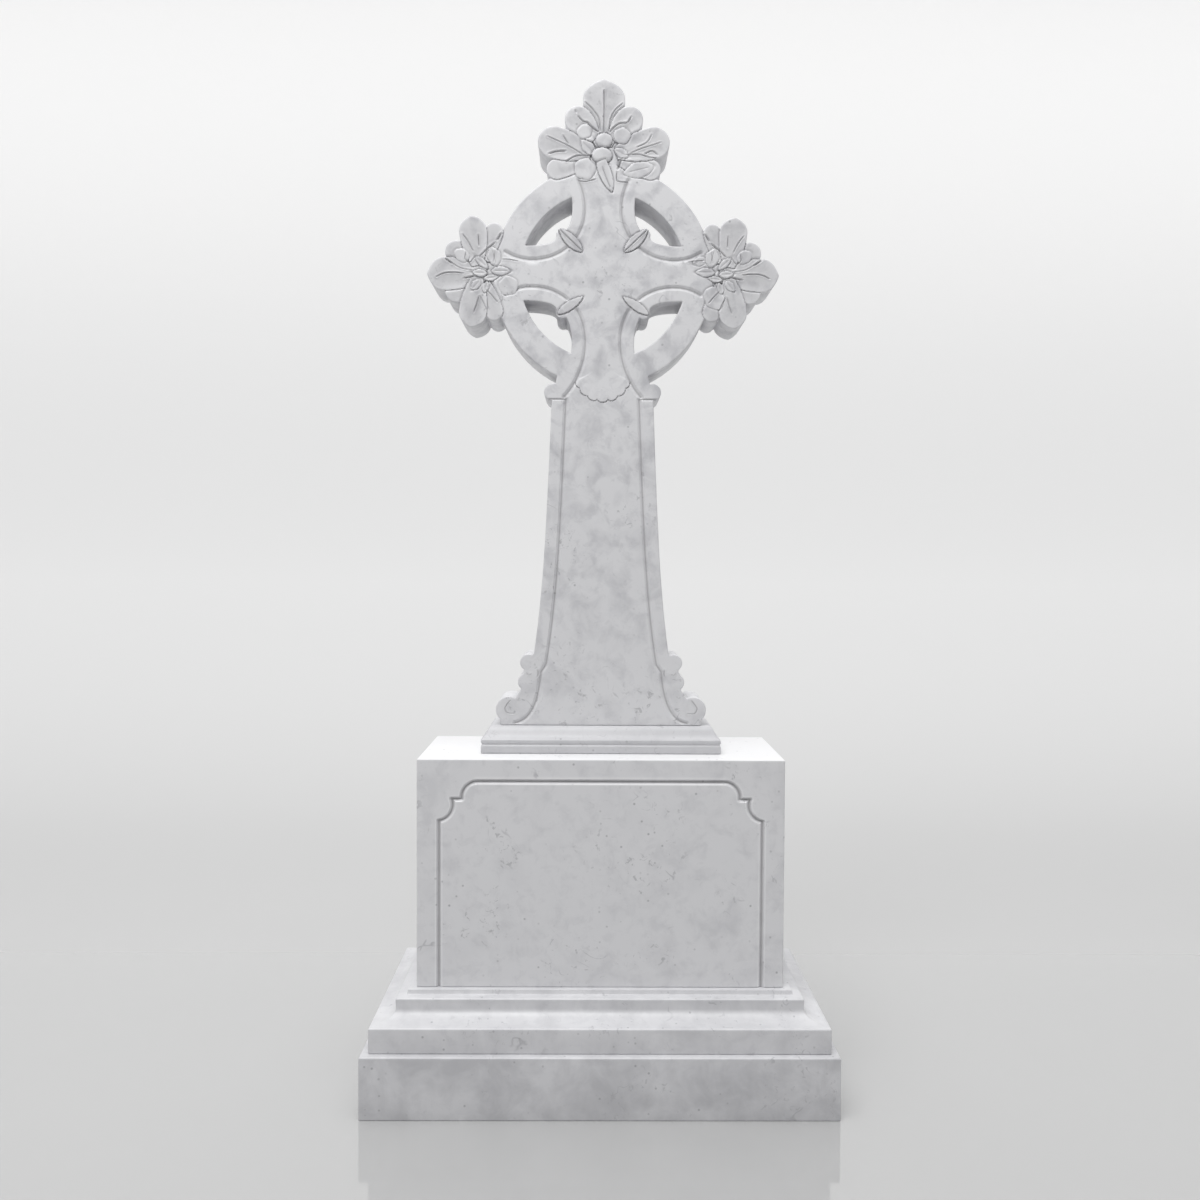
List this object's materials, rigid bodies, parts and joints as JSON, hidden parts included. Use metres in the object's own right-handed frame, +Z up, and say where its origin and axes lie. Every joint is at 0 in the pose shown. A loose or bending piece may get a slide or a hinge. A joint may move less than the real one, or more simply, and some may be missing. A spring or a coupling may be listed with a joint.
{
  "type": "ringed cross memorial",
  "caption": "Free-standing ringed stone cross with leaf-crowned arms on a flared shaft, set on a panelled block with a moulded base and a plain slab.",
  "frame": {"origin": "on the ground, under the middle of the bottom slab", "axes": "+Z up, the carved front faces -Y, +X to the viewer's right seen from the front"},
  "size_m": [0.8, 0.438, 1.7737],
  "materials": {
    "marble": "honed pale marble with soft grey clouding"
  },
  "bodies": {
    "root": {"bottom_slab": "marble", "moulded_base": "marble", "die_block": "marble", "cross_foot": "marble", "ringed_cross": "marble"}
  },
  "joints": []
}
